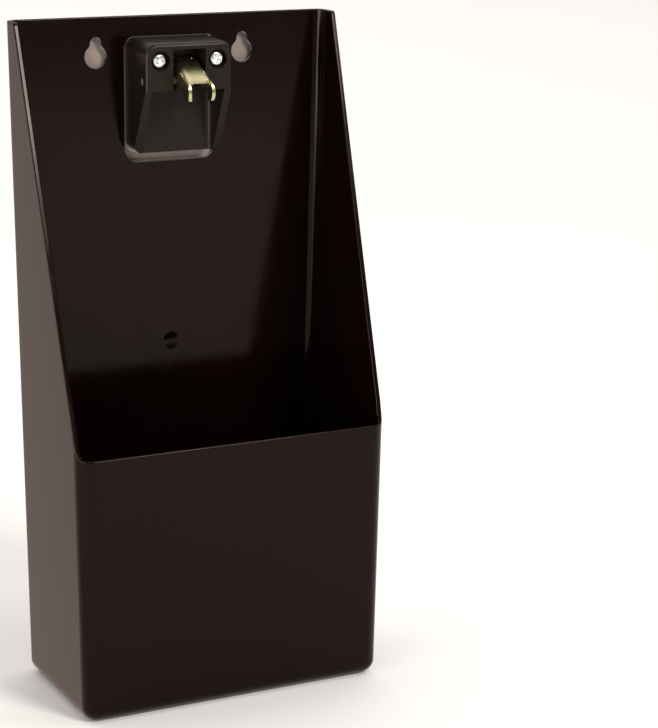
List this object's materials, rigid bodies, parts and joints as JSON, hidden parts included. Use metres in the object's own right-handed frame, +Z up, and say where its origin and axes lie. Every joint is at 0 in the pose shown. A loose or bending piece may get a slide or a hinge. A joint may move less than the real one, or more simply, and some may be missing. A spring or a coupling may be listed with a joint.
{
  "type": "wall-mounted bottle opener",
  "caption": "Wall-mounted bottle opener: a block with a sprung, hinged steel claw stands in the back of a tall moulded tray whose open bin catches the caps.",
  "frame": {"origin": "on the wall plane, midway between the two screws that hold the block", "axes": "+X to the right as seen from the room, +Y into the wall, +Z up"},
  "size_m": [0.155, 0.101, 0.3],
  "materials": {
    "tray_black": "glossy black moulded plastic",
    "block_black": "satin black moulded plastic",
    "claw_zinc": "yellow zinc plated sheet steel",
    "pin_steel": "bright drawn steel",
    "spring_steel": "bright spring wire",
    "screw_zinc": "bright zinc plated steel"
  },
  "bodies": {
    "opener": {"opener_block": "block_black", "claw_pin": "pin_steel", "claw_spring": "spring_steel", "block_screws": "screw_zinc"},
    "claw": {"claw": "claw_zinc"},
    "tray": {"catch_tray": "tray_black"}
  },
  "joints": [
    {"name": "claw_hinge", "type": "hinge", "parent": "opener", "child": "claw", "pos_m": [0, -0.0187, -0.0093], "axis": [-1, 0, 0], "range_deg": [0, 30], "stiffness_Nm_per_rad": 0.05, "springref_deg": -34.38, "deforming": ["claw_spring"]},
    {"name": "tray_lift", "type": "slide", "parent": "opener", "child": "tray", "axis": [0, 0, 1], "range_m": [0, 0.0042]}
  ]
}
